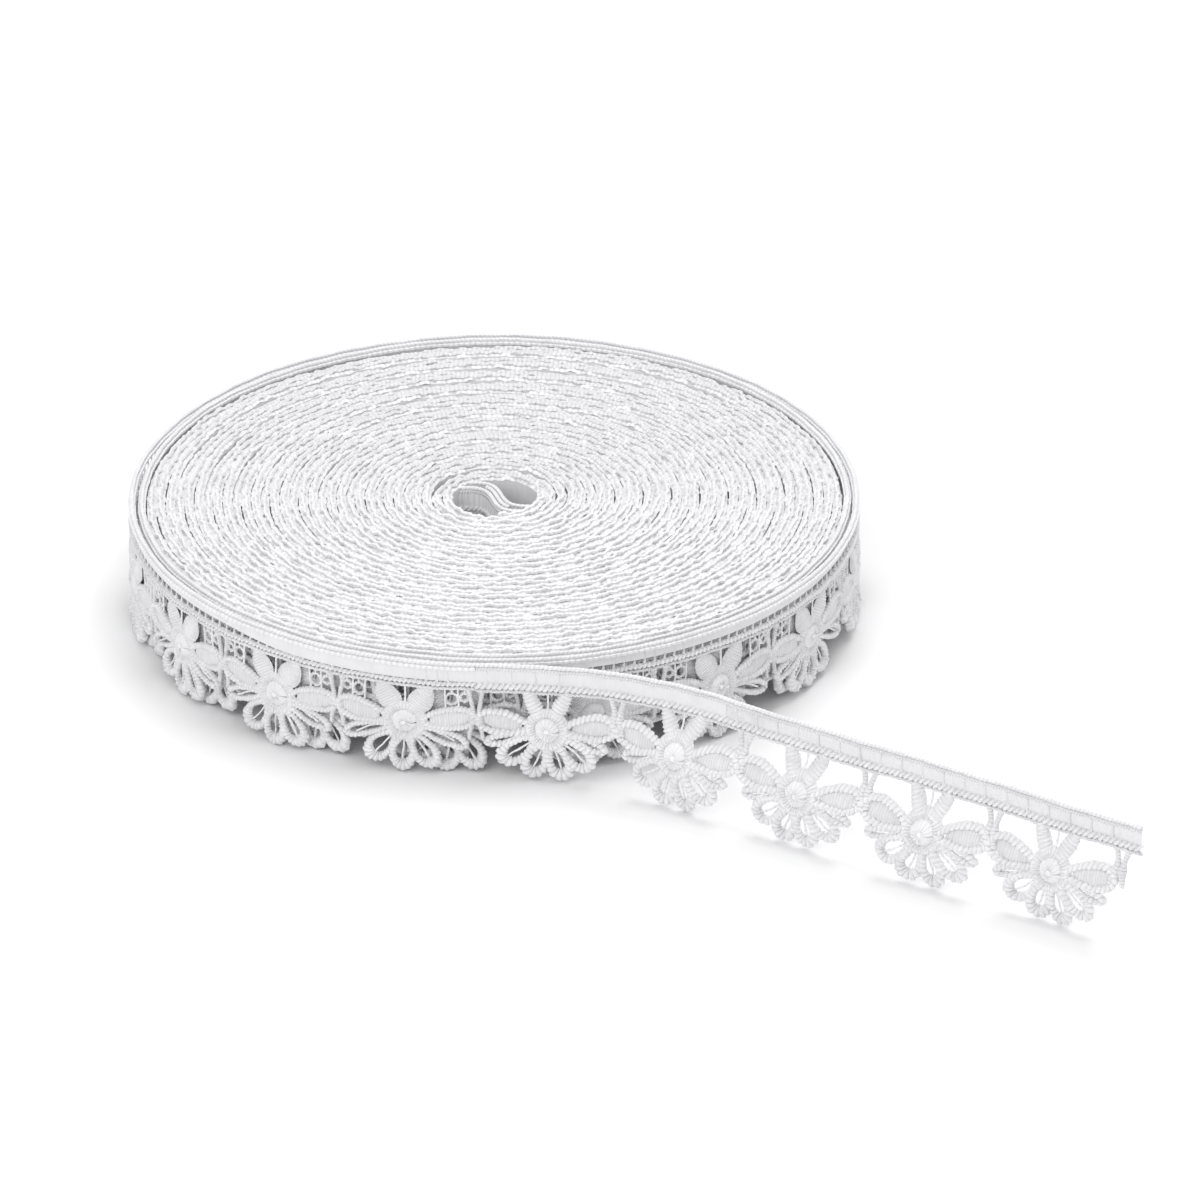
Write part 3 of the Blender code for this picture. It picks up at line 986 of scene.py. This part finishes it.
# ---------------------------------------------------------------------------------------------------------
# The loose end: five flowers of the lace, standing on its scalloped edge. It leaves the roll at the front,
# bends forward and runs on straight to its cut end. Below the second rail it flares to the front.
# ---------------------------------------------------------------------------------------------------------
BEND_RADIUS = 0.0800
BEND_ANGLE = math.radians(33.5)
LOOSE_LENGTH = 0.1419
LOOSE_FLOWERS = 5
LOOSE_SEED = 13
LOOSE_SWAY = 0.00024
LOOSE_LIFT = 0.00020
LOOSE_STEPS = 60
PAST_THE_CUT = 0.004
FLARE_FROM = 0.0190
FLARE_OVER = 0.0085
# The grey sheer sheet of painted shade behind the ladder.
SHADE_NET_FOOT = 0.0208
SHADE_NET_TOP = 0.0243
SHADE_NET_THICK = 0.00016
BAND_LENGTH = 0.052
BAND_FOOT = 0.0210
BAND_TOP = 0.0244
# Length along the loose end, and how far its scalloped edge stands forward there.
FLARE = (
    (-0.010, 0.0000),
    (0.0180, 0.0012),
    (0.0400, 0.0046),
    (0.0670, 0.0040),
    (0.0950, 0.0043),
    (0.1240, 0.0029),
    (0.1600, 0.0022),
)


def loose_route():
    """Returns the loose end's route: the last of the roll's spiral, the bend, and the straight run."""
    points = winding(0.0, turns_for(JOIN_BACK, 0.0), OUTER_SEED)[:-1]
    start = turn_radius(0.0)
    reach = LOOSE_LENGTH + PAST_THE_CUT
    for step in range(LOOSE_STEPS + 1):
        along = reach * step / LOOSE_STEPS
        turned = min(along / BEND_RADIUS, BEND_ANGLE)
        straight = max(0.0, along - BEND_RADIUS * BEND_ANGLE)
        points.append(Vector((
            BEND_RADIUS * math.sin(turned) + straight * math.cos(BEND_ANGLE),
            -start - BEND_RADIUS * (1 - math.cos(turned)) - straight * math.sin(BEND_ANGLE), 0)))
    return points


def flare_at(along):
    """Returns how far the scalloped edge stands forward at a length along the loose end."""
    for (near, low), (far, high) in zip(FLARE, FLARE[1:]):
        if along <= far:
            return low + (high - low) * blend((along - near) / (far - near))
    return FLARE[-1][1]


loose_strip_length = JOIN_BACK + LOOSE_LENGTH
loose_end_lace = flowers_in_a_row("loose_end_lace", STANDING_PETALS, LOOSE_WINGS, LOOSE, LOOSE_FLOWERS)
loose_end_heading = heading("loose_end_heading", 0.0, loose_strip_length, LOOSE_RAILS, LOOSE_RUNG_PITCH,
                            LOOSE_RUNG_THICK)
for piece in (loose_end_lace, loose_end_heading):
    hand_of_cloth(piece, LOOSE_SEED, LOOSE_SWAY, LOOSE_LIFT)
    for point in piece.data.vertices:
        share = blend((FLARE_FROM - point.co.y) / FLARE_OVER)
        point.co.z += share * flare_at(point.co.x - JOIN_BACK)
    stand_up(piece)
    bend_along(piece, route_curve(piece.name + "_route", loose_route()))
    dress(piece, lace_thread, "loose_end")


def loose_band(name, length, foot, top, thick, material):
    """Returns a band behind the heading of the loose end, from its start to a length."""
    band = plain_band(name, length, length / round(length / BAND_PIECE), foot, top, thick)
    bend_along(band, route_curve(name + "_route", loose_route()))
    close_ends(band)
    dress(band, material, "loose_end")
    return band


# A grey sheer sheet behind the heading: painted shade seen through the ladder.
loose_end_shade_net = loose_band("loose_end_shade_net", loose_strip_length, SHADE_NET_FOOT, SHADE_NET_TOP, SHADE_NET_THICK, painted_shade_net)
# The close band near the roll takes the darker thread: painted shade behind the ladder.
loose_end_band = loose_band("loose_end_band", BAND_LENGTH, BAND_FOOT, BAND_TOP, CLOSE_THICK, shaded_lace_ground)

# ---------------------------------------------------------------------------------------------------------
# The studio: a plain pale floor, soft light from two large lamps and a bright room, and a long lens that
# looks down on the roll from the front.
# ---------------------------------------------------------------------------------------------------------
FLOOR_SIZE = 6.0
FLOOR_TONE = (0.90, 0.90, 0.905, 1)
LAMP_COLUMNS = ("name", "size", "power", "place")
LAMPS = (
    ("key light", 1.0, 10.5, (0.22, 0.40, 1.36)),
    ("fill light", 1.0, 6.0, (-0.55, -1.05, 0.95)),
)
ROOM_LIGHT = 0.70
CAMERA_AIM = Vector((0.0209, -0.0101, 0.0058))
CAMERA_DISTANCE = 1.86
CAMERA_ELEVATION = math.radians(27.5)
LENS_LENGTH = 275.1

bpy.ops.object.select_all(action="DESELECT")
bpy.ops.mesh.primitive_plane_add(size=FLOOR_SIZE, location=(0, 0, 0))
studio_floor = bpy.context.object
studio_floor.name = "studio_floor"
floor_paper = bpy.data.materials.new("floor paper")
floor_paper.use_nodes = True
floor_shader = floor_paper.node_tree.nodes["Principled BSDF"]
floor_shader.inputs["Base Color"].default_value = FLOOR_TONE
floor_shader.inputs["Roughness"].default_value = 0.9
studio_floor.data.materials.append(floor_paper)


def soft_light(name, size, power, place):
    """Adds a square lamp that faces the middle of the roll's foot."""
    lamp = bpy.data.lights.new(name, "AREA")
    lamp.size = size
    lamp.energy = power
    made = bpy.data.objects.new(name, lamp)
    bpy.context.scene.collection.objects.link(made)
    made.location = place
    made.rotation_euler = (-Vector(place)).to_track_quat("-Z", "Y").to_euler()


for values in LAMPS:
    soft_light(**dict(zip(LAMP_COLUMNS, values)))
world = bpy.data.worlds.new("studio")
world.use_nodes = True
world.node_tree.nodes["Background"].inputs["Color"].default_value = (1, 1, 1, 1)
world.node_tree.nodes["Background"].inputs["Strength"].default_value = ROOM_LIGHT
bpy.context.scene.world = world
bpy.context.scene.view_settings.view_transform = "Standard"

lens = bpy.data.cameras.new("camera")
lens.lens = LENS_LENGTH
lens.sensor_width = 36.0
lens.clip_end = 20.0
camera = bpy.data.objects.new("camera", lens)
bpy.context.scene.collection.objects.link(camera)
towards_camera = Vector((0, -math.cos(CAMERA_ELEVATION), math.sin(CAMERA_ELEVATION)))
camera.location = CAMERA_AIM + CAMERA_DISTANCE * towards_camera
camera.rotation_euler = (math.radians(90) - CAMERA_ELEVATION, 0, 0)
bpy.context.scene.camera = camera
